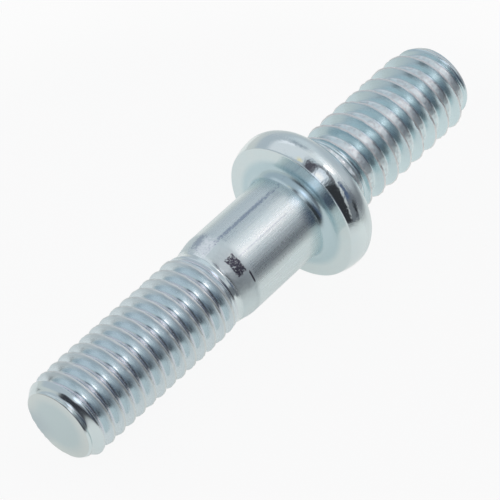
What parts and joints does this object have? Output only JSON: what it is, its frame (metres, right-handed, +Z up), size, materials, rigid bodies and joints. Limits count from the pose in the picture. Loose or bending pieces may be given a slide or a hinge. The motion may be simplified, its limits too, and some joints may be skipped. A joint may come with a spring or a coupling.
{
  "type": "stud bolt",
  "caption": "Double-ended collar stud: a machine thread, a plain shank, a round collar and a coarse thread in one line.",
  "frame": {"origin": "middle of the stud's footprint, on the surface it lies on", "axes": "+X along the stud's length towards the coarse thread, +Z up; the stud's own axis rises by 5.7 degrees from the machine end to the collar, because it rests on the machine thread's first crest and on the rim of the collar"},
  "size_m": [0.0504, 0.0138, 0.0139],
  "materials": {
    "zinc": "bright zinc plating with a clear bluish passivation"
  },
  "bodies": {
    "root": {"stud": "zinc"}
  },
  "joints": []
}
